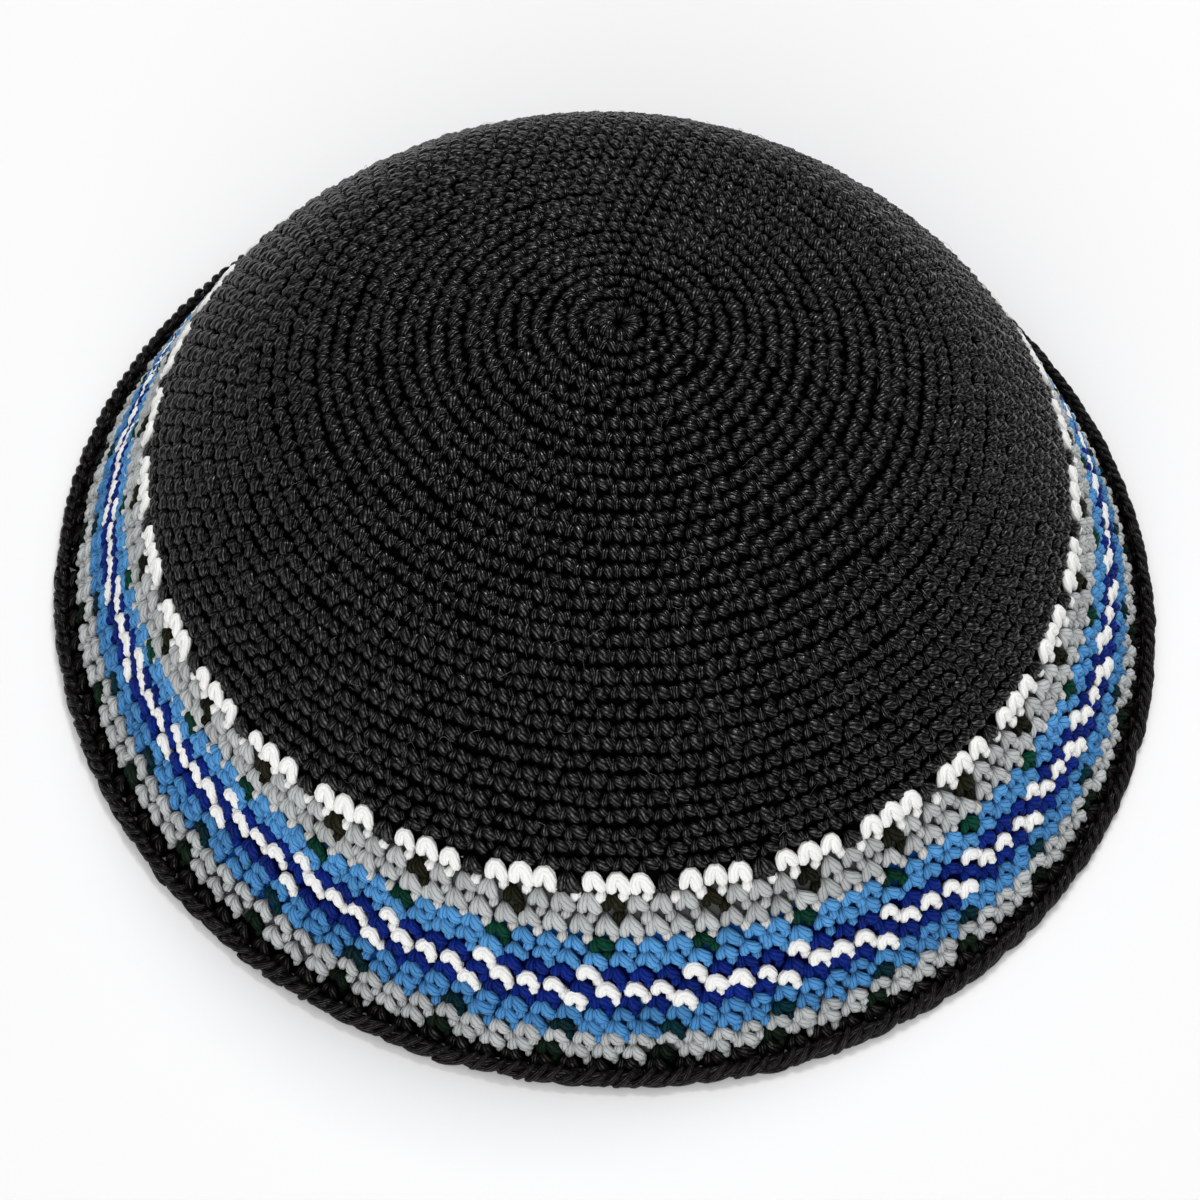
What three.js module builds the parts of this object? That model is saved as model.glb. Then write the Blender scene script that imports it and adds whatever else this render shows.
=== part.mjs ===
// Crocheted kippah: a domed skullcap of thick cotton, worked round by round from the middle of
// the crown down to the rim, with a striped border and a braided edging that rests flat.
// Millimetres, +Z up. The origin lies under the middle of the dome, level with the rim's foot.
// The front of the cap, where the photograph looks at it, faces -Y.
import * as THREE from 'three';

// Driving sizes of the whole cap
const rimRadius = 85;
const domeHeight = 60.4;
const ovalGrowth = 1.7; // how far the rim reaches out along its longer way, and in across it
const ovalDirection = -70; // degrees from +X to the longer way of the rim

// Crocheted cloth: every round is one rib, and the ribs are soft
const crownWall = 2.5;
const borderWall = 2.5;
const crownRibDepth = 0.5;
const borderRibDepth = 0.35;
const whiteRoundProud = 0.35;
const centreDimple = 0.6; // the small hole where the first round is drawn together

// Braided edging that closes the rim
const edgingWidth = 3;
const edgingHeight = 2.8;
const footWidth = 1.2; // the flat that the cotton settles into where it rests

// Clear space between neighbouring pieces, measured along the cloth
const seamGap = 0.3;

// Rounds of stitches, from the middle out. A round of the crown is one high, and the others are
// measured by it.
const centreRounds = 0.39; // the first round starts this far out
const crownRounds = 33;
const edgingRounds = 1.51; // the last black round, and the braid up to its foot
const tallRound = 1.31;
const lowRound = 0.91;
const stripes = [
  { name: 'white_round', rounds: 1, tall: tallRound, colour: 0xf4f4f0, proud: whiteRoundProud },
  { name: 'upper_grey_stripe', rounds: 2, tall: tallRound, colour: 0xaab0b0, proud: 0 },
  { name: 'upper_blue_stripe', rounds: 2, tall: lowRound, colour: 0x4a86d0, proud: 0 },
  { name: 'navy_white_stripe', rounds: 3, tall: lowRound, colour: 0x2a3a9c, proud: 0 },
  { name: 'lower_blue_stripe', rounds: 2, tall: lowRound, colour: 0x4a86d0, proud: 0 },
  { name: 'lower_grey_stripe', rounds: 2, tall: lowRound, colour: 0xaab0b0, proud: 0 },
];

// How steep the outside is, in degrees below level, at even steps of the way to the rim
const slopeSections = [
  { place: 'middle', steepness: 0 },
  { place: 'top', steepness: 11 },
  { place: 'middle of the crown', steepness: 14.5 },
  { place: 'above the shoulder', steepness: 19 },
  { place: 'shoulder', steepness: 42 },
  { place: 'lower crown', steepness: 51 },
  { place: 'white round', steepness: 61 },
  { place: 'border', steepness: 62.5 },
  { place: 'rim', steepness: 56 },
];

// Fineness of the facets
const sidesAround = 40;
const curveSteps = 376;
const innerRoundsPerFacet = 3;

const blackCotton = 0x121212;
const edgingColour = 0x17130f;
const cottonRoughness = 0.85;

const stripeRounds = stripes.reduce((sum, stripe) => sum + stripe.rounds * stripe.tall, 0);
const allRounds = centreRounds + crownRounds + stripeRounds + edgingRounds;

const slopeCurve = new THREE.SplineCurve(
  slopeSections.map((section, step) => new THREE.Vector2(step, section.steepness)),
);

// Steepness in radians at any share of the way, on a smooth curve through the sections
function steepnessAt(way) {
  return THREE.MathUtils.degToRad(slopeCurve.getPoint(way).y);
}

// The outside of the cap from the middle (way 0) to its foot (way 1), as radius and height.
// The slopes are added up in small steps, then the sum is fitted to the radius and the height.
function outsideCurve() {
  const rows = [{ radius: 0, drop: 0 }];
  for (let step = 1; step <= curveSteps; step += 1) {
    const last = rows[step - 1];
    const slope = steepnessAt((step - 0.5) / curveSteps);
    rows.push({ radius: last.radius + Math.cos(slope), drop: last.drop + Math.sin(slope) });
  }
  const end = rows[curveSteps];
  const footRadius = rimRadius - edgingWidth / 2;
  return rows.map((row) => {
    const height = (1 - row.drop / end.drop) * domeHeight;
    return new THREE.Vector2((row.radius / end.radius) * footRadius, height);
  });
}

const outside = outsideCurve();

// Point on the outside at a share of the way
function outsideAt(way) {
  const place = THREE.MathUtils.clamp(way, 0, 1) * curveSteps;
  const low = Math.min(Math.floor(place), curveSteps - 1);
  return outside[low].clone().lerp(outside[low + 1], place - low);
}

// Direction square to the outside, pointing out of the cap
function outwardAt(way) {
  const reach = 1 / curveSteps;
  const along = outsideAt(way + reach).sub(outsideAt(way - reach));
  return new THREE.Vector2(-along.y, along.x).normalize();
}

let wayLength = 0;
for (let step = 1; step <= curveSteps; step += 1) {
  wayLength += outside[step].distanceTo(outside[step - 1]);
}
const halfGap = seamGap / 2 / wayLength;

// A point under or over the outside: round counts from the middle, lift is along the outward way
function clothPoint(round, lift, wayShift = 0) {
  const way = round / allRounds + wayShift;
  const point = outsideAt(way).addScaledVector(outwardAt(way), lift);
  point.x = Math.max(point.x, 0);
  return point;
}

// Ribs of the outside, from the lowest up: groove, crest, groove. Each rib is one round.
function ribs(fromRound, count, tall, depth, proud) {
  const points = [];
  for (let rib = count; rib > 0; rib -= 1) {
    const shift = rib === count ? -halfGap : 0;
    points.push(clothPoint(fromRound + rib * tall, proud - depth, shift));
    points.push(clothPoint(fromRound + (rib - 0.5) * tall, proud));
  }
  points.push(clothPoint(fromRound, proud - depth, halfGap));
  return points;
}

// Smooth inside of the cloth between two rounds, from the upper one down
function insideWall(fromRound, toRound, wall) {
  const steps = Math.ceil((toRound - fromRound) / innerRoundsPerFacet);
  const points = [];
  for (let step = 0; step <= steps; step += 1) {
    const round = fromRound + ((toRound - fromRound) * step) / steps;
    const shift = step === 0 ? halfGap : step === steps ? -halfGap : 0;
    points.push(clothPoint(round, -wall, shift));
  }
  return points;
}

// Draws the rim out along the longer way of the oval and in across it, less and less upwards
function makeOval(geometry) {
  const place = geometry.attributes.position;
  const direction = THREE.MathUtils.degToRad(ovalDirection);
  for (let i = 0; i < place.count; i += 1) {
    const x = place.getX(i);
    const y = place.getY(i);
    const turn = Math.atan2(y, x) - direction;
    const share = (ovalGrowth / rimRadius) * (1 - place.getZ(i) / domeHeight);
    const growth = 1 + share * Math.cos(2 * turn);
    place.setXY(i, x * growth, y * growth);
  }
  geometry.computeVertexNormals();
}

// One piece of cloth, turned round the upright axis from its section
function turned(name, section, colour) {
  const geometry = new THREE.LatheGeometry(section, sidesAround);
  geometry.rotateX(Math.PI / 2);
  makeOval(geometry);
  const material = new THREE.MeshStandardMaterial({
    color: colour,
    roughness: cottonRoughness,
    metalness: 0,
  });
  const mesh = new THREE.Mesh(geometry, material);
  mesh.name = name;
  return mesh;
}

// Black crown: the profile runs from the axis down the inside and back up over the ribs
function crown() {
  const first = centreRounds;
  const last = centreRounds + crownRounds;
  const inner = insideWall(first, last, crownWall);
  inner[0] = new THREE.Vector2(0, domeHeight - crownWall);
  const outer = ribs(first, crownRounds, 1, crownRibDepth, 0);
  outer[outer.length - 1] = new THREE.Vector2(0, domeHeight - centreDimple);
  return turned('crown', [...inner, ...outer], blackCotton);
}

// One stripe of the border, a closed ring
function stripeRing(stripe, fromRound) {
  const toRound = fromRound + stripe.rounds * stripe.tall;
  const outer = ribs(fromRound, stripe.rounds, stripe.tall, borderRibDepth, stripe.proud);
  const inner = insideWall(fromRound, toRound, borderWall);
  const section = [...outer, ...inner];
  return turned(stripe.name, [...section, section[0].clone()], stripe.colour);
}

// The last black round and the braid below it, with the flat foot that the cap stands on
function edging(fromRound) {
  const braidMiddle = new THREE.Vector2(rimRadius - edgingWidth / 2, edgingHeight / 2);
  const halfWidth = edgingWidth / 2;
  const halfHeight = edgingHeight / 2;
  const halfFoot = footWidth / 2;
  const braid = [
    { out: -1, up: 0.1 },
    { out: -0.75, up: -0.65 },
    { out: -halfFoot / halfWidth, up: -1 },
    { out: halfFoot / halfWidth, up: -1 },
    { out: 0.8, up: -0.6 },
    { out: 1, up: 0 },
    { out: 0.7, up: 0.7 },
    { out: 0.1, up: 0.95 },
  ].map(
    (corner) =>
      new THREE.Vector2(
        braidMiddle.x + corner.out * halfWidth,
        braidMiddle.y + corner.up * halfHeight,
      ),
  );
  const lastRound = [
    clothPoint(fromRound + 0.5, 0),
    clothPoint(fromRound, -borderRibDepth, halfGap),
    clothPoint(fromRound, -borderWall, halfGap),
  ];
  const section = [...braid, ...lastRound];
  return turned('edging', [...section, section[0].clone()], edgingColour);
}

const kippah = new THREE.Group();
kippah.name = 'kippah';
kippah.add(crown());
let nextRound = centreRounds + crownRounds;
for (const stripe of stripes) {
  kippah.add(stripeRing(stripe, nextRound));
  nextRound += stripe.rounds * stripe.tall;
}
kippah.add(edging(nextRound));

export default kippah;
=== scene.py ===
# Crocheted kippah: every stitch is a short bent strand of cotton, laid on the cloth of the dome.
# Metres, +Z up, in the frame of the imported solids. The front of the cap faces -Y.
import math
from collections import namedtuple

import bmesh
import bpy
import numpy as np
from mathutils import Matrix, Vector


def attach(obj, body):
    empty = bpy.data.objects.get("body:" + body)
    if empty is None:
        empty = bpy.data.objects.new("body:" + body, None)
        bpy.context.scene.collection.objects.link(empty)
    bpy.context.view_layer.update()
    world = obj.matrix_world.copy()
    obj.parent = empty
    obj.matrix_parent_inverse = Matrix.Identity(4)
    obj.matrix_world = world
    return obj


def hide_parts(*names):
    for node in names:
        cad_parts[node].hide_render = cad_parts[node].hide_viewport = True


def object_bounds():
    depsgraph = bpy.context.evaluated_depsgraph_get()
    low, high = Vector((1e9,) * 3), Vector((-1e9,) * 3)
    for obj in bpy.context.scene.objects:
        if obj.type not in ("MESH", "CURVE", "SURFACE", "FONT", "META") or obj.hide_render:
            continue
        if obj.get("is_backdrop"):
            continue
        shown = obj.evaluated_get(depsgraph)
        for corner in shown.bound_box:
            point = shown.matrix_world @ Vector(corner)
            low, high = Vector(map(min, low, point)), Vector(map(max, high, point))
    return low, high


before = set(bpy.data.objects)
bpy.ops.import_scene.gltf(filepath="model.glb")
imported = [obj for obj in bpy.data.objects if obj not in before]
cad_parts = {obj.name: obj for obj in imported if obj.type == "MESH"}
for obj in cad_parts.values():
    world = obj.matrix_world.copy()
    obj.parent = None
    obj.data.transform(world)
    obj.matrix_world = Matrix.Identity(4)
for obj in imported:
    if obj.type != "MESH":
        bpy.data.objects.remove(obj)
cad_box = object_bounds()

MM = 0.001
rng = np.random.default_rng(613)

# Sizes of the cap, the same as in the solids
RIM_RADIUS = 85 * MM
DOME_HEIGHT = 60.4 * MM
OVAL_GROWTH = 1.7 * MM
OVAL_DIRECTION = math.radians(-70)
EDGING_WIDTH = 3 * MM
EDGING_HEIGHT = 2.8 * MM
SLOPES = np.radians([0, 11, 14.5, 19, 42, 51, 61, 62.5, 56])  # evenly from middle to rim
CURVE_STEPS = 376

# Heights of the rounds, measured by a round of the crown
CENTRE_ROUNDS = 0.39
CROWN_ROUNDS = 33
LAST_ROUND = 46
TALL_ROUND = 1.31
LOW_ROUND = 0.91
LAST_ROUND_TALL = 1.25
EDGING_ROUNDS = 1.51  # the last round, and the braid up to its foot
SPIRAL_ROUNDS = 24  # as far as this the rounds run on into each other as one spiral

# The cloth, through its thickness, measured outwards from the face of the solids
YARN_BED = -0.95 * MM
BODY_OUT = -1.45 * MM
BODY_IN = -2.0 * MM
INSIDE_BED = -2.05 * MM
BODY_BEGINS = 0.3  # in rounds from the middle
EDGING_BODY_ROUNDS = 1.2
BODY_RINGS = 1.5  # rings of facets for each round
OPEN = 0.12 * MM  # above this the cotton stands in the full light
DEEP = -1.2 * MM  # below this it lies in the dark between its neighbours

# Stitches round the cap: eight in the first round, then more in each, as many as lie flat
STITCHES_AT = {"round": (1, 20, 23, 27, 31, 34, 47), "count": (8, 109, 118, 125, 129, 132, 132)}
BORDER_STITCHES = 132
STITCH_LEAN = -0.21  # how far a stitch stands back from the one above it, in stitches
FIRST_ACCENT = math.radians(-86.9)  # where the pattern's column stands in the white round
SEAM_TURN = math.pi / 2  # the rounds begin and end at the back

# Pattern of the border: four stitches that repeat, round by round from the white round down
CHART = {
    34: ("white", "white", "black", "white"),
    35: ("olive", "grey", "grey", "grey"),
    36: ("grey", "grey", "grey", "grey"),
    37: ("green", "blue", "blue", "blue"),
    38: ("blue", "blue", "blue", "blue"),
    39: ("white", "navy", "navy", "navy"),
    40: ("navy", "white", "white", "white"),
    41: ("white", "navy", "navy", "navy"),
    # The lower blue stripe is drawn in a darker copy of the sky blue: painted shade
    42: ("low_blue", "low_blue", "low_blue", "low_blue"),
    43: ("teal", "low_blue", "low_blue", "low_blue"),
    44: ("grey", "grey", "grey", "grey"),
    45: ("moss", "grey", "grey", "grey"),
    46: ("edging", "edging", "edging", "edging"),
}
WHITE_ROUND = 34
UPPER_GREY_ROUNDS = (35, 36)
NUB_YARNS = {36: "pale"}  # the tops of this round show paler than its stitches


# The rounds of stitches, counted from 1 in the middle

def tall(number):
    """How high a round is."""
    if number <= CROWN_ROUNDS:
        return 1.0
    if number == WHITE_ROUND or number in UPPER_GREY_ROUNDS:
        return TALL_ROUND
    return LOW_ROUND if number < LAST_ROUND else LAST_ROUND_TALL


def top_of(number):
    """Where a round begins, on the way from the middle out."""
    return CENTRE_ROUNDS + sum(tall(above) for above in range(1, number))


def middle_of(number):
    """The way to the middle line of a round."""
    return top_of(number) + tall(number) / 2


ALL_ROUNDS = top_of(LAST_ROUND) + EDGING_ROUNDS


# The dome

def steepness(way):
    """Steepness in radians at shares of the way, on the smooth curve through SLOPES."""
    place = np.clip(way, 0, 1) * (len(SLOPES) - 1)
    step = np.minimum(place.astype(int), len(SLOPES) - 2)
    t = place - step
    before, here, there = SLOPES[np.maximum(step - 1, 0)], SLOPES[step], SLOPES[step + 1]
    after = SLOPES[np.minimum(step + 2, len(SLOPES) - 1)]
    leave, arrive = (there - before) / 2, (after - here) / 2
    cubic = 2 * here - 2 * there + leave + arrive
    square = 3 * there - 3 * here - 2 * leave - arrive
    return ((cubic * t + square) * t + leave) * t + here


middles = (np.arange(CURVE_STEPS) + 0.5) / CURVE_STEPS
run = np.concatenate([[0], np.cumsum(np.cos(steepness(middles)))])
drop = np.concatenate([[0], np.cumsum(np.sin(steepness(middles)))])
curve_radius = run / run[-1] * (RIM_RADIUS - EDGING_WIDTH / 2)
curve_height = (1 - drop / drop[-1]) * DOME_HEIGHT
curve_round = np.linspace(0, ALL_ROUNDS, CURVE_STEPS + 1)
step_radius, step_height = np.gradient(curve_radius), np.gradient(curve_height)
step_length = np.hypot(step_radius, step_height)
out_radius, out_height = -step_height / step_length, step_radius / step_length
WAY_LENGTH = np.hypot(np.diff(curve_radius), np.diff(curve_height)).sum()
ROUND_HEIGHT = WAY_LENGTH / ALL_ROUNDS


def oval(turn, height):
    """How much further out than round the cap is: the rim is an oval, and the top isn't."""
    share = OVAL_GROWTH / RIM_RADIUS * (1 - height / DOME_HEIGHT)
    return 1 + share * np.cos(2 * (turn - OVAL_DIRECTION))


def standing(turn, radius, height):
    """Points at a turn, a radius and a height. What would pass the floor is pressed flat on it."""
    radius = radius * oval(turn, height)
    return np.stack([radius * np.cos(turn), radius * np.sin(turn), np.maximum(height, 0)], -1)


def cloth(turn, rounds, lift):
    """Points of the cloth: turn from +X, rounds from the middle out, lift out of its face."""
    over = np.maximum(rounds - ALL_ROUNDS, 0) * ROUND_HEIGHT
    rounds = np.abs(rounds)
    radius = np.interp(rounds, curve_round, curve_radius)
    height = np.interp(rounds, curve_round, curve_height)
    aside = np.interp(rounds, curve_round, out_radius)
    up = np.interp(rounds, curve_round, out_height)
    radius = radius + lift * aside + over * up
    height = height + lift * up - over * aside
    return standing(turn, radius, height)


def radius_at(rounds):
    """How far from the axis the cloth is."""
    return np.interp(rounds, curve_round, curve_radius)


SWAYS = ((2, 0.03), (3, 0.035), (5, 0.035), (9, 0.03), (16, 0.02))  # waves round the cap, size
SWAY_SEED = 1000


def wander(turn, number):
    """Slow rise and fall of a round, in rounds: no two rounds of handwork are alike."""
    waves = np.random.default_rng(SWAY_SEED + number)
    sway = np.zeros_like(turn)
    for beat, size in SWAYS:
        sway += size * np.sin(beat * turn + waves.uniform(0, 2 * math.pi))
    return sway


# The stripes aren't quite level: on the left of the cap they stand higher, up to a round.
# Turns are in degrees from +X.
DRIFT_AT = {
    "turn": (-180, -150, -130, -100, -88, -30, 20, 120, 180),
    "drift": (-0.9, -1.15, -1.0, 0.25, 0.55, 0.4, 0.6, -0.5, -0.9),
}
DRIFT_SHARE = {"round": (33, 36, 37, 40, 43, 46), "share": (0, 0.3, 0.6, 1, 0.8, 0)}


def drift(turn, number):
    """How far a round of the border lies below its level place, in rounds."""
    degrees = (np.degrees(turn) + 180) % 360 - 180
    share = np.interp(number, DRIFT_SHARE["round"], DRIFT_SHARE["share"])
    return share * np.interp(degrees, DRIFT_AT["turn"], DRIFT_AT["drift"])


# Strands

Bend = namedtuple("Bend", "across down lift girth")
FLATNESS = 0.8  # a strand is pressed a little flat against the cloth
TUBE_START = (0.3, 0.2, 1.0)  # a tube's first side is square to this and to its heading

# No two stitches are alike: how far they differ from each other
TWIST = math.radians(8)
GROWTH = 0.06
SLIP = 0.11 * MM
LIFT = 0.07 * MM
YARN_LENGTH = 40  # mm of yarn over which a strand's fibres may begin
EIGHTHS = 8  # a strand may be rolled over by eighths


def straight_tube(rings, sides):
    """A closed tube of radius 1 along X from 0 to 1, with each corner's place on the yarn."""
    tube = bmesh.new()
    upright_to_x = Matrix.Translation((0.5, 0, 0)) @ Matrix.Rotation(math.pi / 2, 4, "Y")
    bmesh.ops.create_cone(
        tube, cap_ends=True, cap_tris=False, segments=sides,
        radius1=1, radius2=1, depth=1, matrix=upright_to_x,
    )
    long_edges = [e for e in tube.edges if abs(e.verts[0].co.x - e.verts[1].co.x) > 0.5]
    bmesh.ops.subdivide_edges(tube, edges=long_edges, cuts=rings - 2)
    tube.verts.index_update()
    points = np.array([v.co for v in tube.verts])
    corners, starts, places = [], [], []
    for face in tube.faces:
        starts.append(len(corners))
        rounds = [math.atan2(v.co.z, v.co.y) / (2 * math.pi) % 1 for v in face.verts]
        wraps = max(rounds) - min(rounds) > 0.5 and len(face.verts) == 4
        for vert, place in zip(face.verts, rounds):
            corners.append(vert.index)
            places.append((vert.co.x, place + 1 if wraps and place < 0.5 else place))
    tube.free()
    return {
        "points": points,
        "corners": np.array(corners),
        "starts": np.array(starts),
        "places": np.array(places),
    }


def smooth_path(bends, shares):
    """Catmull-Rom curve through the bends, read at shares of its length."""
    knots = np.array([tuple(b) for b in bends], float)
    place = np.clip(shares, 0, 1) * (len(knots) - 1)
    step = np.minimum(place.astype(int), len(knots) - 2)
    t = (place - step)[:, None]
    last = len(knots) - 1
    before, here = knots[np.maximum(step - 1, 0)], knots[step]
    there, after = knots[step + 1], knots[np.minimum(step + 2, last)]
    leave, arrive = (there - before) / 2, (after - here) / 2
    cubic = 2 * here - 2 * there + leave + arrive
    square = 3 * there - 3 * here - 2 * leave - arrive
    return ((cubic * t + square) * t + leave) * t + here


def bent_strand(tube, bends, pitch, height, thickness):
    """The tube bent along a path: columns are metres across, out and down, seen from outside."""
    along = tube["points"][:, 0]
    rings, ring_of = np.unique(np.round(along, 6), return_inverse=True)
    path = smooth_path(bends, rings)
    line = np.stack([path[:, 0] * pitch, path[:, 2] * MM, path[:, 1] * height], -1)
    heading = np.gradient(line, axis=0)
    heading /= np.linalg.norm(heading, axis=1)[:, None]
    side = np.cross(heading[0], TUBE_START)
    sides = []
    for ahead in heading:
        side = side - ahead * (side @ ahead)
        side = side / np.linalg.norm(side)
        sides.append(side)
    sides = np.array(sides)
    third = np.cross(heading, sides)
    girth = path[:, 3] * MM * thickness
    round_it = tube["points"][:, 1:]
    points = line[ring_of]
    points = points + sides[ring_of] * (girth[ring_of] * round_it[:, 0])[:, None]
    points = points + third[ring_of] * (girth[ring_of] * round_it[:, 1])[:, None]
    points[:, 1] = line[ring_of, 1] + (points[:, 1] - line[ring_of, 1]) * FLATNESS
    length = np.linalg.norm(np.diff(line, axis=0), axis=1).sum()
    return points, length


class Cloth:
    """Strands gathered for one piece, which become one mesh."""

    def __init__(self):
        self.points, self.corners, self.starts, self.places = [], [], [], []
        self.tones, self.depths = [], []
        self.count = 0
        self.corner_count = 0

    def lay(self, tube, strand, length, turn, rounds, place):
        """Puts a copy of the strand at each turn and round; place maps local points to metres."""
        number = len(turn)
        if number == 0:
            return
        across, lift, down = strand[:, 0], strand[:, 1], strand[:, 2]
        twist = rng.normal(0, TWIST, number)[:, None]
        size = rng.normal(1, GROWTH, number)[:, None]
        x = (across * np.cos(twist) - down * np.sin(twist)) * size
        y = (across * np.sin(twist) + down * np.cos(twist)) * size
        x = x + rng.normal(0, SLIP, number)[:, None]
        y = y + rng.normal(0, SLIP, number)[:, None]
        z = lift + rng.normal(0, LIFT, number)[:, None]
        world = place(turn[:, None], rounds[:, None], x, y, z).reshape(-1, 3)
        size_of_tube = len(tube["points"])
        shift = (np.arange(number) * size_of_tube)[:, None]
        self.points.append(world)
        self.corners.append((tube["corners"] + shift).ravel() + self.count)
        corner_shift = (np.arange(number) * len(tube["corners"]))[:, None]
        self.starts.append((tube["starts"] + corner_shift).ravel() + self.corner_count)
        start_along = rng.uniform(0, YARN_LENGTH, number)[:, None]
        along = tube["places"][:, 0] * length / MM + start_along
        spin = rng.uniform(0, 1, number)[:, None]
        around = tube["places"][:, 1] + np.round(spin * EIGHTHS) / EIGHTHS
        self.places.append(np.stack([along, around], -1).reshape(-1, 2))
        self.tones.append(np.repeat(rng.uniform(0, 1, number), size_of_tube))
        self.depths.append(np.clip((OPEN - z) / (OPEN - DEEP), 0, 1).ravel())
        self.count += number * size_of_tube
        self.corner_count += number * len(tube["corners"])

    def mesh(self, name):
        """All strands of the piece as one mesh, with their places on the yarn."""
        data = bpy.data.meshes.new(name)
        points = np.concatenate(self.points).astype(np.float32)
        corners = np.concatenate(self.corners).astype(np.int32)
        starts = np.concatenate(self.starts).astype(np.int32)
        data.vertices.add(len(points))
        data.vertices.foreach_set("co", points.ravel())
        data.loops.add(len(corners))
        data.loops.foreach_set("vertex_index", corners)
        data.polygons.add(len(starts))
        data.polygons.foreach_set("loop_start", starts)
        data.update(calc_edges=True)
        data.polygons.foreach_set("use_smooth", np.ones(len(starts), bool))
        places = np.concatenate(self.places).astype(np.float32)
        data.uv_layers.new(name="yarn").data.foreach_set("uv", places.ravel())
        tones = np.concatenate(self.tones).astype(np.float32)
        data.attributes.new("tone", "FLOAT", "POINT").data.foreach_set("value", tones)
        depths = np.concatenate(self.depths).astype(np.float32)
        data.attributes.new("depth", "FLOAT", "POINT").data.foreach_set("value", depths)
        return data


LEAST_RADIUS = 0.9 * MM  # nearer to the middle than this, stitches keep their angle


def on_dome(turn, rounds, across, down, lift):
    """Local metres round a stitch to the cloth of the dome."""
    girth = np.maximum(radius_at(rounds), LEAST_RADIUS)
    return cloth(turn + across / girth, rounds + down / ROUND_HEIGHT, lift)


def on_rim(turn, rounds, across, down, lift):
    """Local metres round the middle line of the braid, which is flat where it rests."""
    slope = SLOPES[-1]
    ring = RIM_RADIUS - EDGING_WIDTH / 2
    radius = ring + lift * math.sin(slope) + down * math.cos(slope)
    height = EDGING_HEIGHT / 2 + lift * math.cos(slope) - down * math.sin(slope)
    return standing(turn + across / ring, radius, height)


# Finishes

PLY_TWIST = 0.42  # plies that pass for each millimetre along the strand
PLY_WOBBLE = 0.9
WOBBLE_SCALE = 900
PATCH_SCALE = 2300
PATCH_CONTRAST = 3.8
PATCH_SHIFT = -1.1
FIBRE_SCALE = 4200
FIBRE_HEIGHT = 0.5
GROOVE_SHARE = 0.4  # the part of a ridge's height that is taken up by its groove, darkened there by painted shade
SHADE_FROM = 0.1  # depths between which the light of the open air fades
SHADE_TO = 0.75
BUMP_STRENGTH = 0.75
BUMP_HEIGHT = 0.12 * MM


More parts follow.
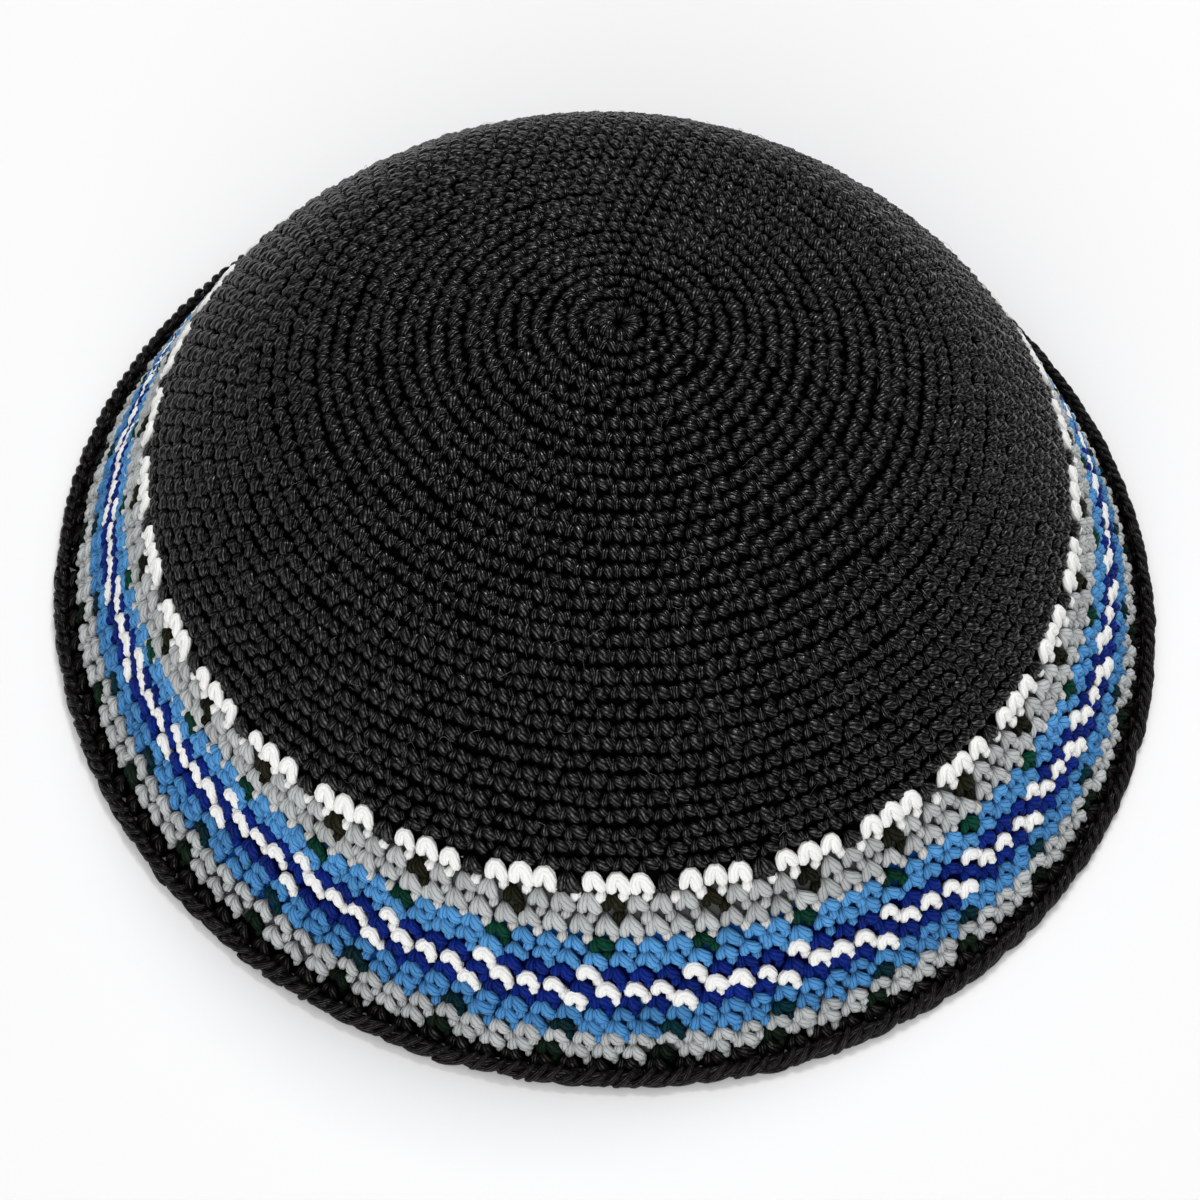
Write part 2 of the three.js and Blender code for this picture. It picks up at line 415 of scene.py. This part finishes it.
def cotton(name, colour, groove_shade, tone_range, roughness, shine, hollow, crest=1.0, plies=7.0):
    """Plied cotton yarn: fine ridges that run along each strand, fibres, and a soft sheen.

    The ridges are of the colour and the lines between them of the darker groove colour, painted shade.
    Each strand is as bright as its tone says, and hollow is the light that is left deep down between
    strands.
    """
    material = bpy.data.materials.new(name)
    material.use_nodes = True
    nodes, links = material.node_tree.nodes, material.node_tree.links
    shader = nodes["Principled BSDF"]
    shader.inputs["Roughness"].default_value = roughness

    place = nodes.new("ShaderNodeUVMap")
    place.uv_map = "yarn"
    split = nodes.new("ShaderNodeSeparateXYZ")
    links.new(place.outputs["UV"], split.inputs[0])

    def math_node(operation, *values):
        node = nodes.new("ShaderNodeMath")
        node.operation = operation
        for socket, value in zip(node.inputs, values):
            if isinstance(value, (int, float)):
                socket.default_value = value
            else:
                links.new(value, socket)
        return node.outputs[0]

    twisted = math_node("MULTIPLY", split.outputs[0], PLY_TWIST)
    ply = math_node("MULTIPLY", split.outputs[1], plies)
    ply = math_node("ADD", ply, twisted)
    coordinates = nodes.new("ShaderNodeTexCoord")
    wobble = nodes.new("ShaderNodeTexNoise")
    wobble.inputs["Scale"].default_value = WOBBLE_SCALE
    links.new(coordinates.outputs["Object"], wobble.inputs["Vector"])
    wobbled = math_node("MULTIPLY", wobble.outputs["Fac"], PLY_WOBBLE)
    ply = math_node("ADD", ply, wobbled)
    ridge = math_node("ABSOLUTE", math_node("SINE", math_node("MULTIPLY", ply, math.pi)))

    fibre = nodes.new("ShaderNodeTexNoise")
    fibre.inputs["Scale"].default_value = FIBRE_SCALE
    fibre.inputs["Detail"].default_value = 3
    links.new(coordinates.outputs["Object"], fibre.inputs["Vector"])
    patches = nodes.new("ShaderNodeTexNoise")
    patches.inputs["Scale"].default_value = PATCH_SCALE
    links.new(coordinates.outputs["Object"], patches.inputs["Vector"])
    patchy = math_node("MULTIPLY_ADD", patches.outputs["Fac"], PATCH_CONTRAST, PATCH_SHIFT)
    patchy = math_node("MAXIMUM", patchy, 0.1)

    tone = nodes.new("ShaderNodeAttribute")
    tone.attribute_name = "tone"
    tone_range_node = nodes.new("ShaderNodeMapRange")
    tone_range_node.inputs["To Min"].default_value = tone_range[0]
    tone_range_node.inputs["To Max"].default_value = tone_range[1]
    links.new(tone.outputs["Fac"], tone_range_node.inputs["Value"])

    rise = nodes.new("ShaderNodeMapRange")
    rise.inputs["From Max"].default_value = GROOVE_SHARE
    links.new(ridge, rise.inputs["Value"])
    depth = nodes.new("ShaderNodeAttribute")
    depth.attribute_name = "depth"
    open_air = nodes.new("ShaderNodeMapRange")
    open_air.interpolation_type = "SMOOTHSTEP"
    open_air.inputs["From Min"].default_value = SHADE_TO
    open_air.inputs["From Max"].default_value = SHADE_FROM
    open_air.inputs["To Min"].default_value = hollow
    links.new(depth.outputs["Fac"], open_air.inputs["Value"])
    glint = math_node("MULTIPLY", math_node("POWER", ridge, crest), patchy)
    glint = math_node("MULTIPLY_ADD", glint, shine * 0.95, shine * 0.05)
    glint = math_node("MULTIPLY", glint, open_air.outputs["Result"])
    links.new(glint, shader.inputs["Specular IOR Level"])
    # Painted shade: between the plies the colour is mixed towards the darker groove colour
    between = nodes.new("ShaderNodeMix")
    between.data_type = "RGBA"
    between.inputs["A"].default_value = (*groove_shade, 1)
    between.inputs["B"].default_value = (*colour, 1)
    links.new(rise.outputs["Result"], between.inputs["Factor"])
    shade = nodes.new("ShaderNodeVectorMath")
    shade.operation = "SCALE"
    links.new(between.outputs["Result"], shade.inputs[0])
    scale = math_node("MULTIPLY", tone_range_node.outputs["Result"], open_air.outputs["Result"])
    links.new(scale, shade.inputs["Scale"])
    links.new(shade.outputs["Vector"], shader.inputs["Base Color"])

    fuzzy = math_node("MULTIPLY", fibre.outputs["Fac"], FIBRE_HEIGHT)
    height = math_node("ADD", ridge, fuzzy)
    bump = nodes.new("ShaderNodeBump")
    bump.inputs["Strength"].default_value = BUMP_STRENGTH
    bump.inputs["Distance"].default_value = BUMP_HEIGHT
    links.new(height, bump.inputs["Height"])
    links.new(bump.outputs["Normal"], shader.inputs["Normal"])
    return material


SHINY = {"roughness": 0.3, "shine": 0.84, "hollow": 0.0, "crest": 1.8, "plies": 8.0}
DULL = {"roughness": 0.4, "shine": 0.46, "hollow": 0.0, "crest": 1.8, "plies": 8.0}
SOFT = {"roughness": 0.6, "shine": 0.14, "hollow": 0.57}
# The body of the cloth under the stitches is drawn in darker copies of the yarns: painted shade
SHADED_BODY = {"tone_range": (1, 1), "roughness": 0.9, "shine": 0.1, "hollow": 1.0}
UNLIT = (0.001, 0.001, 0.001)
# The second colour of each cotton is painted shade, the darker colour of the lines between its plies
COTTONS = {
    "black": cotton("black cotton", (0.0028, 0.0028, 0.003), UNLIT, (0.7, 1.3), **SHINY),
    "edging": cotton("brown-black cotton", (0.0055, 0.0045, 0.0038), UNLIT, (0.7, 1.3), **DULL),
    "white": cotton("white cotton", (0.98, 0.98, 0.96), (0.9, 0.89, 0.87), (0.98, 1.01), **SOFT),
    "grey": cotton("light grey cotton", (0.52, 0.54, 0.54), (0.23, 0.24, 0.24), (0.86, 1.12), **SOFT),
    "pale": cotton("pale grey cotton", (0.7, 0.69, 0.67), (0.42, 0.42, 0.41), (0.85, 1.1), **SOFT),
    "blue": cotton("sky blue cotton", (0.1, 0.33, 0.66), (0.006, 0.1, 0.36), (0.85, 1.12), **SOFT),
    # The same yarn as the sky blue, drawn darker for the lower stripe: painted shade
    "low_blue": cotton("blue cotton", (0.078, 0.27, 0.56), (0.004, 0.07, 0.28), (0.85, 1.12), **SOFT),
    "navy": cotton("navy cotton", (0.003, 0.018, 0.185), (0.001, 0.005, 0.09), (0.75, 1.25), **SOFT),
    "green": cotton("bottle green cotton", (0.001, 0.042, 0.024), (0.001, 0.008, 0.005), (0.7, 1.3), **SOFT),
    "olive": cotton("olive black cotton", (0.012, 0.012, 0.005), (0.002, 0.002, 0.001), (0.6, 1.3), **SOFT),
    "teal": cotton("dark teal cotton", (0.001, 0.022, 0.03), (0.001, 0.005, 0.008), (0.7, 1.3), **SOFT),
    "moss": cotton("moss black cotton", (0.005, 0.014, 0.007), (0.001, 0.002, 0.001), (0.5, 1.4), **SOFT),
    "fibre": cotton("loose fibre", (0.3, 0.3, 0.31), (0.3, 0.3, 0.31), (0.3, 1.2), **SOFT),
    # Darker copies of the yarns for the body of the cloth: painted shade that shows between the stitches
    "shaded_black_body": cotton("shaded black cotton within", UNLIT, UNLIT, **SHADED_BODY),
    "shaded_grey_body": cotton("shaded grey cotton within", (0.12, 0.125, 0.125), (0.08, 0.08, 0.08), **SHADED_BODY),
    "shaded_blue_body": cotton("shaded blue cotton within", (0.01, 0.1, 0.42), (0.008, 0.07, 0.3), **SHADED_BODY),
    "shaded_navy_body": cotton("shaded navy cotton within", (0.001, 0.005, 0.12), (0.001, 0.004, 0.08), **SHADED_BODY),
}
SLOT_OF = {
    "black": "black_cotton", "edging": "edging_cotton", "white": "white_cotton",
    "grey": "grey_cotton", "pale": "grey_cotton", "blue": "blue_cotton",
    "low_blue": "blue_cotton", "navy": "navy_cotton", "fibre": "black_cotton",
    "green": "black_cotton", "olive": "black_cotton", "teal": "black_cotton",
    "moss": "black_cotton", "shaded_black_body": "black_cotton", "shaded_grey_body": "grey_cotton",
    "shaded_blue_body": "blue_cotton", "shaded_navy_body": "navy_cotton",
}


def add_piece(name, data, yarn, replaced=()):
    """A piece of the cap in its yarn, in place of the solids that it replaces."""
    piece = bpy.data.objects.new(name, data)
    bpy.context.scene.collection.objects.link(piece)
    data.materials.append(COTTONS[yarn])
    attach(piece, "root")
    SLOT_OF[yarn]
    if replaced:
        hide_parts(*replaced)
    return piece


# One stitch of the outside is a strand that comes up, bows over and goes down again, so two lobes
# show. A third is the small loop of its top, which shows below in the next round. Shares of a
# stitch across and of a round down, then millimetres out of the bed and of radius.

CROWN_STRAND = (
    Bend(-0.40, 0.44, -0.60, 0.40),
    Bend(-0.41, 0.32, 0.24, 0.60),
    Bend(-0.40, 0.12, 0.46, 0.68),
    Bend(-0.35, -0.12, 0.28, 0.54),
    Bend(-0.27, -0.34, -0.30, 0.40),
    Bend(-0.15, -0.24, 0.26, 0.74),
    Bend(0.01, -0.05, 0.42, 0.92),
    Bend(0.16, 0.14, 0.36, 0.88),
    Bend(0.27, 0.28, -0.02, 0.64),
    Bend(0.31, 0.36, -0.60, 0.40),
)
CROWN_NUB = (
    Bend(0.20, -0.46, -0.30, 0.42),
    Bend(0.29, -0.34, 0.36, 0.60),
    Bend(0.39, -0.17, 0.42, 0.62),
    Bend(0.47, 0.02, -0.30, 0.42),
)
BORDER_STRAND = (
    Bend(-0.20, 0.46, -0.60, 0.50),
    Bend(-0.22, 0.34, 0.06, 0.72),
    Bend(-0.22, 0.12, 0.34, 0.80),
    Bend(-0.19, -0.12, 0.32, 0.70),
    Bend(-0.13, -0.34, 0.06, 0.50),
    Bend(-0.07, -0.50, -0.50, 0.34),
    Bend(0.00, -0.34, 0.14, 0.56),
    Bend(0.09, -0.14, 0.42, 0.82),
    Bend(0.20, 0.08, 0.48, 0.96),
    Bend(0.31, 0.26, 0.20, 0.86),
    Bend(0.37, 0.40, -0.60, 0.54),
)
BORDER_ARCH = (
    Bend(-0.22, 0.46, -0.60, 0.60),
    Bend(-0.22, 0.28, 0.16, 0.80),
    Bend(-0.22, 0.06, 0.44, 0.86),
    Bend(-0.18, -0.16, 0.48, 0.86),
    Bend(-0.09, -0.30, 0.46, 0.82),
    Bend(0.01, -0.32, 0.46, 0.82),
    Bend(0.09, -0.20, 0.50, 0.86),
    Bend(0.15, -0.04, 0.54, 0.90),
    Bend(0.22, 0.16, 0.50, 0.90),
    Bend(0.31, 0.34, 0.20, 0.80),
    Bend(0.36, 0.48, -0.60, 0.56),
)
WHITE_ARCH = (
    Bend(-0.24, 0.46, -0.50, 0.60),
    Bend(-0.26, 0.26, 0.26, 0.80),
    Bend(-0.26, 0.00, 0.60, 0.86),
    Bend(-0.22, -0.24, 0.66, 0.86),
    Bend(-0.11, -0.40, 0.60, 0.84),
    Bend(0.03, -0.42, 0.60, 0.84),
    Bend(0.15, -0.28, 0.64, 0.86),
    Bend(0.22, -0.06, 0.66, 0.90),
    Bend(0.27, 0.16, 0.56, 0.90),
    Bend(0.32, 0.34, 0.26, 0.82),
    Bend(0.35, 0.46, -0.50, 0.60),
)
EDGE_NUB = (
    Bend(0.36, 0.44, -0.60, 0.40),
    Bend(0.35, 0.52, 0.16, 0.62),
    Bend(0.33, 0.68, 0.32, 0.56),
    Bend(0.31, 0.86, 0.24, 0.36),
    Bend(0.29, 1.02, -0.30, 0.20),
)
BORDER_NUB = (
    Bend(0.36, 0.44, -0.60, 0.44),
    Bend(0.35, 0.52, 0.14, 0.70),
    Bend(0.32, 0.66, 0.34, 0.82),
    Bend(0.29, 0.82, 0.14, 0.68),
    Bend(0.27, 0.92, -0.55, 0.40),
)
INSIDE_BAR = (
    Bend(-0.50, 0.12, 0.20, 0.40),
    Bend(-0.02, -0.04, -0.32, 0.66),
    Bend(0.50, 0.12, 0.20, 0.40),
)
FULL_PITCH = 2.75 * MM  # below this width of a stitch its yarn is drawn thinner
THINNING = 0.8

crown_tube = straight_tube(rings=10, sides=6)
crown_nub_tube = straight_tube(rings=4, sides=5)
border_tube = straight_tube(rings=11, sides=7)
border_nub_tube = straight_tube(rings=5, sides=6)
inside_tube = straight_tube(rings=3, sides=5)


def stitches_in(number):
    """How many stitches a round has."""
    return int(round(np.interp(number, STITCHES_AT["round"], STITCHES_AT["count"])))


def spots_of(number):
    """Turn and round of every stitch of one round of the cap."""
    count = stitches_in(number)
    pitch = 2 * math.pi / count
    column = np.arange(count)
    if number > CROWN_ROUNDS:
        turn = FIRST_ACCENT + (column + STITCH_LEAN * (number - CROWN_ROUNDS - 1)) * pitch
    else:
        start, end = STITCH_LEAN * number % 1, STITCH_LEAN * (number + 1) % 1
        turn = SEAM_TURN + (start + 0.5 + column * (1 + (end - start) / count)) * pitch
    way_round = (turn - SEAM_TURN) / (2 * math.pi)
    spiral = np.interp(number, (SPIRAL_ROUNDS, CROWN_ROUNDS + 1), (1, 0))
    rounds = middle_of(number) + (way_round - 0.5) * spiral
    rounds = rounds + wander(turn, number) + drift(turn, number)
    return turn, rounds, column, 2 * math.pi * radius_at(middle_of(number)) / count


def lay_round(number, outside, inside):
    """Lays one round: outside and inside gather the strands of each yarn."""
    turn, rounds, column, pitch = spots_of(number)
    drawn = min(1.0, (pitch / FULL_PITCH) ** THINNING)
    border = number > CROWN_ROUNDS
    tube, nub_tube = (border_tube, border_nub_tube) if border else (crown_tube, crown_nub_tube)
    height = tall(number) * ROUND_HEIGHT
    nub_path = BORDER_NUB if border else CROWN_NUB
    if number == LAST_ROUND - 1:
        nub_path = EDGE_NUB  # the braid's round draws these loops to points
    nub, nub_length = bent_strand(nub_tube, nub_path, pitch, height, drawn)
    bar, bar_length = bent_strand(inside_tube, INSIDE_BAR, pitch, height, drawn)
    nub[:, 1] += YARN_BED
    bar[:, 1] += INSIDE_BED
    chart = CHART.get(number, ("black",) * 4)
    for yarn in sorted(set(chart)):
        path = BORDER_STRAND if border else CROWN_STRAND
        if yarn == "white":
            path = WHITE_ARCH if number == WHITE_ROUND else BORDER_ARCH
        strand, length = bent_strand(tube, path, pitch, height, drawn)
        strand[:, 1] += YARN_BED
        chosen = np.array([chart[c % 4] == yarn for c in column])
        outside[yarn].lay(tube, strand, length, turn[chosen], rounds[chosen], on_dome)
        inside[yarn].lay(inside_tube, bar, bar_length, turn[chosen], rounds[chosen], on_dome)
        if number == WHITE_ROUND:
            chosen = np.full(len(column), yarn == "white")
        nub_yarn = NUB_YARNS.get(number, yarn)
        if number < LAST_ROUND:  # the braid is worked into the loops of the last round
            outside[nub_yarn].lay(nub_tube, nub, nub_length, turn[chosen], rounds[chosen], on_dome)


# The body of the cloth between its two faces: rings turned round the axis

def body_ring(name, from_round, to_round, yarn, replaced, closed_top=False):
    """A ring of cloth between two rounds, or a dome from the middle to a round."""
    ring = bmesh.new()
    steps = max(2, int(round((to_round - from_round) * BODY_RINGS)))
    outer = cloth(np.zeros(steps + 1), np.linspace(from_round, to_round, steps + 1), BODY_OUT)
    inner = cloth(np.zeros(steps + 1), np.linspace(to_round, from_round, steps + 1), BODY_IN)
    if closed_top:
        outer[0], inner[-1] = (0, 0, outer[0][2]), (0, 0, inner[-1][2])
    section = [ring.verts.new(point) for point in np.concatenate([outer, inner])]
    edges = [ring.edges.new(pair) for pair in zip(section, section[1:])]
    if not closed_top:
        edges.append(ring.edges.new((section[-1], section[0])))
    bmesh.ops.spin(
        ring, geom=section + edges, cent=(0, 0, 0), axis=(0, 0, 1), dvec=(0, 0, 0),
        angle=2 * math.pi, steps=BORDER_STITCHES // 2, use_merge=True,
    )
    bmesh.ops.remove_doubles(ring, verts=ring.verts, dist=0.01 * MM)
    bmesh.ops.recalc_face_normals(ring, faces=ring.faces)
    for vert in ring.verts:
        turn = math.atan2(vert.co.y, vert.co.x)
        reach = 1 + oval(turn, vert.co.z) - oval(0, vert.co.z)
        vert.co.x *= reach
        vert.co.y *= reach
    data = bpy.data.meshes.new(name)
    places = ring.loops.layers.uv.new("yarn")
    for face in ring.faces:
        face.smooth = True
        for corner in face.loops:
            corner[places].uv = (corner.vert.co.x / MM, corner.vert.co.z / MM)
    ring.to_mesh(data)
    ring.free()
    data.attributes.new("tone", "FLOAT", "POINT")
    data.attributes.new("depth", "FLOAT", "POINT")
    return add_piece(name, data, yarn, replaced)


# The first round is drawn together in the middle

CENTRE_STRAND = (
    Bend(0.00, -0.56, -0.50, 0.26),
    Bend(0.00, -0.40, 0.02, 0.40),
    Bend(0.02, -0.12, 0.34, 0.52),
    Bend(0.06, 0.18, 0.46, 0.62),
    Bend(0.12, 0.42, 0.26, 0.60),
    Bend(0.16, 0.58, -0.40, 0.42),
)
CENTRE_STRANDS = 11
CENTRE_MIDDLE = 0.74  # in rounds from the middle
CENTRE_TURN = 0.3


def centre(piece):
    """Lays the strands that run in to the middle of the cap."""
    strand, length = bent_strand(crown_tube, CENTRE_STRAND, MM, ROUND_HEIGHT, 1)
    strand[:, 1] += YARN_BED
    turn = CENTRE_TURN + np.arange(CENTRE_STRANDS) * 2 * math.pi / CENTRE_STRANDS
    piece.lay(crown_tube, strand, length, turn, np.full(CENTRE_STRANDS, CENTRE_MIDDLE), on_dome)


# Loose fibres that stand a little off the crown, in short bows of many headings

FUZZ_KINDS = 24
FUZZ_OF_A_KIND = 11
FUZZ_HALF = (0.4, 1.5)  # half the length of a fibre, in mm
FUZZ_BOW = 0.5
FUZZ_ARCH = 0.3
FUZZ_GIRTH = 0.026


def fuzz(piece):
    """Lays loose fibres all over the crown."""
    tube = straight_tube(rings=6, sides=3)
    for _ in range(FUZZ_KINDS):
        heading = rng.uniform(0, 2 * math.pi)
        half = rng.uniform(*FUZZ_HALF)
        bow = rng.normal(0, FUZZ_BOW)
        bends = []
        for share in (-1.0, -0.4, 0.2, 1.0):
            ahead, aside = share * half, bow * share * share
            across = ahead * math.cos(heading) - aside * math.sin(heading)
            down = ahead * math.sin(heading) + aside * math.cos(heading)
            lift = FUZZ_ARCH * (1 - share * share) * half
            bends.append(Bend(across, down, lift, FUZZ_GIRTH))
        strand, length = bent_strand(tube, bends, MM, MM, 1)
        turn = rng.uniform(-math.pi, math.pi, FUZZ_OF_A_KIND)
        rounds = CROWN_ROUNDS * np.sqrt(rng.uniform(0.01, 1, FUZZ_OF_A_KIND))
        piece.lay(tube, strand, length, turn, rounds, on_dome)


# The braid of the edging: strands that rise to the right, lapped like a rope

BRAID_LOWER = (
    Bend(-0.62, 0.30, 0.06, 0.40),
    Bend(-0.42, 0.36, 0.32, 0.44),
    Bend(-0.20, 0.40, 0.42, 0.46),
    Bend(0.02, 0.41, 0.44, 0.46),
    Bend(0.22, 0.38, 0.44, 0.46),
    Bend(0.42, 0.31, 0.40, 0.44),
    Bend(0.62, 0.20, 0.12, 0.38),
)
BRAID_UPPER = (
    Bend(-0.36, 0.44, 0.20, 0.34),
    Bend(-0.25, 0.35, 0.56, 0.42),
    Bend(-0.11, 0.20, 0.78, 0.47),
    Bend(0.04, 0.03, 0.84, 0.48),
    Bend(0.19, -0.14, 0.74, 0.45),
    Bend(0.32, -0.29, 0.46, 0.40),
    Bend(0.42, -0.40, 0.02, 0.34),
)
BRAID_INNER = (
    Bend(-0.62, 0.10, -0.40, 0.40),
    Bend(-0.42, 0.16, -0.72, 0.60),
    Bend(-0.20, 0.16, -0.86, 0.68),
    Bend(0.02, 0.10, -0.92, 0.70),
    Bend(0.24, 0.00, -0.86, 0.66),
    Bend(0.44, -0.10, -0.66, 0.58),
    Bend(0.62, -0.20, -0.30, 0.42),
)
BRAID_CORE = (
    Bend(-0.60, 0.06, 0.00, 0.72),
    Bend(0.00, 0.04, 0.06, 0.78),
    Bend(0.60, 0.06, 0.00, 0.72),
)


BRAID_SHIFT = -2.6  # where the braid's first stitch stands from the pattern's, in stitches


def braid(piece):
    """Lays the braid: for each stitch two rising strands, one below, one behind, and the core."""
    tube = straight_tube(rings=7, sides=7)
    pitch = 2 * math.pi * (RIM_RADIUS - EDGING_WIDTH / 2) / BORDER_STITCHES
    column = np.arange(BORDER_STITCHES) + BRAID_SHIFT
    turn = FIRST_ACCENT + column * 2 * math.pi / BORDER_STITCHES
    half = math.pi / BORDER_STITCHES
    strands = (
        (tube, BRAID_LOWER, 0),
        (tube, BRAID_UPPER, 0),
        (tube, BRAID_UPPER, half),
        (tube, BRAID_INNER, 0),
        (inside_tube, BRAID_CORE, 0),
    )
    for shape, bends, shift in strands:
        strand, length = bent_strand(shape, bends, pitch, ROUND_HEIGHT, 1)
        piece.lay(shape, strand, length, turn + shift, np.zeros(BORDER_STITCHES), on_rim)


# Camera, at the place that the photograph was taken from: distances in rim radii
CAMERA_ELEVATION = math.radians(54.635)
CAMERA_DISTANCE = 5.5 * RIM_RADIUS
CAMERA_ROLL = math.radians(2.806)
CAMERA_AIM = Vector((-0.0073 * RIM_RADIUS, -0.0543 * RIM_RADIUS, 0))
FOCAL_PIXELS = 3062
PHOTO_PIXELS = 1200
SENSOR = 36
NEAREST = 0.01
FURTHEST = 20


def camera():
    """Looks down on the front of the cap, tilted a little as the photograph is."""
    data = bpy.data.cameras.new("camera")
    data.sensor_width = SENSOR
    data.lens = FOCAL_PIXELS / PHOTO_PIXELS * SENSOR
    data.clip_start = NEAREST
    data.clip_end = FURTHEST
    seat = Vector((0, -math.cos(CAMERA_ELEVATION), math.sin(CAMERA_ELEVATION))) * CAMERA_DISTANCE
    ahead = (CAMERA_AIM - seat).normalized()
    level = ahead.cross(Vector((0, 0, 1))).normalized()
    upward = level.cross(ahead)
    right = level * math.cos(CAMERA_ROLL) + upward * math.sin(CAMERA_ROLL)
    above = upward * math.cos(CAMERA_ROLL) - level * math.sin(CAMERA_ROLL)
    eye = bpy.data.objects.new("camera", data)
    turned = Matrix((right, above, -ahead)).transposed().to_4x4()
    eye.matrix_world = Matrix.Translation(seat) @ turned
    bpy.context.scene.collection.objects.link(eye)
    bpy.context.scene.camera = eye


# Soft white lights, aimed at the origin: the back one throws the short shadow in front
Light = namedtuple("Light", "name place size power")
LIGHTS = (
    Light("overhead", (0, 0.1, 1.5), 2.0, 7),
    Light("back", (0.2, 0.84, 1.28), 0.55, 12),
    Light("front", (-0.15, -1.35, 0.9), 1.6, 18),
)
SKY_STRENGTH = 0.16
FLOOR_TONE = 0.93
FLOOR_HALF = 3
FLOOR_DROP = 0.05 * MM


def area_light(light):
    """A square lamp turned towards the cap."""
    data = bpy.data.lights.new(light.name, "AREA")
    data.size = light.size
    data.energy = light.power
    lamp = bpy.data.objects.new(light.name, data)
    lamp.location = light.place
    lamp.rotation_euler = (-Vector(light.place)).to_track_quat("-Z", "Y").to_euler()
    bpy.context.scene.collection.objects.link(lamp)


def studio():
    """White paper under the cap, a white sky and the lights."""
    table = bmesh.new()
    bmesh.ops.create_grid(table, x_segments=1, y_segments=1, size=FLOOR_HALF)
    bmesh.ops.translate(table, verts=table.verts, vec=(0, 0, -FLOOR_DROP))
    data = bpy.data.meshes.new("table")
    table.to_mesh(data)
    table.free()
    floor = bpy.data.objects.new("table", data)
    bpy.context.scene.collection.objects.link(floor)
    paper = bpy.data.materials.new("white paper")
    paper.use_nodes = True
    shader = paper.node_tree.nodes["Principled BSDF"]
    shader.inputs["Base Color"].default_value = (FLOOR_TONE, FLOOR_TONE, FLOOR_TONE, 1)
    shader.inputs["Roughness"].default_value = 0.9
    shader.inputs["Specular IOR Level"].default_value = 0.1
    data.materials.append(paper)
    floor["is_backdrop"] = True
    world = bpy.data.worlds.new("studio")
    world.use_nodes = True
    sky = world.node_tree.nodes["Background"]
    sky.inputs["Color"].default_value = (1, 1, 1, 1)
    sky.inputs["Strength"].default_value = SKY_STRENGTH
    bpy.context.scene.world = world
    for light in LIGHTS:
        area_light(light)
    bpy.context.scene.view_settings.view_transform = "Standard"


# The whole cap: parts with their first and last rounds, and for the stripes the solid that each
# one replaces and the yarn of its body, a darker copy drawn as painted shade between the stitches

CROWN_PARTS = (
    ("crown_middle", 1, 19),
    ("crown_shoulder", 20, 27),
    ("crown_lower", 28, 33),
)
STRIPES = (
    ("white_round", 34, 34, "white_round", "shaded_black_body"),
    ("upper_grey", 35, 36, "upper_grey_stripe", "shaded_grey_body"),
    ("upper_blue", 37, 38, "upper_blue_stripe", "shaded_blue_body"),
    ("navy_white", 39, 41, "navy_white_stripe", "shaded_navy_body"),
    ("lower_blue", 42, 43, "lower_blue_stripe", "shaded_blue_body"),
    ("lower_grey", 44, 45, "lower_grey_stripe", "shaded_grey_body"),
)


class Yarns(dict):
    """Gathered strands of each yarn, begun when a yarn is first used."""

    def __missing__(self, yarn):
        self[yarn] = Cloth()
        return self[yarn]


def make_pieces(base, first, last):
    """Lays the rounds from first to last, and makes a piece of each of their yarns."""
    outside, inside = Yarns(), Yarns()
    for number in range(first, last + 1):
        lay_round(number, outside, inside)
    if first == 1:
        centre(outside["black"])
        fuzz(outside["fibre"])
    if last == LAST_ROUND:
        braid(outside["edging"])
    for yarn, gathered in sorted(outside.items()):
        add_piece(f"{base}_{yarn}_stitches", gathered.mesh(f"{base}_{yarn}"), yarn)
    for yarn, gathered in sorted(inside.items()):
        add_piece(f"{base}_{yarn}_inside", gathered.mesh(f"{base}_{yarn}_in"), yarn)


camera()
studio()

crown_end = top_of(CROWN_ROUNDS + 1)
# The bodies are in darker copies of the yarns: painted shade in the gaps between the stitches
body_ring("crown_body", BODY_BEGINS, crown_end, "shaded_black_body", ["crown"], closed_top=True)
for part, first, last in CROWN_PARTS:
    make_pieces(part, first, last)
for stripe, first, last, node, within in STRIPES:
    body_ring(f"{stripe}_body", top_of(first), top_of(last + 1), within, [node])
    make_pieces(stripe, first, last)
edging_start = top_of(LAST_ROUND)
edging_end = edging_start + EDGING_BODY_ROUNDS
body_ring("edging_body", edging_start, edging_end, "shaded_black_body", ["edging"])
make_pieces("edging", LAST_ROUND, LAST_ROUND)

visual_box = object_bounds()
({
    "cad": [list(cad_box[0]), list(cad_box[1])],
    "visual": [list(visual_box[0]), list(visual_box[1])],
})
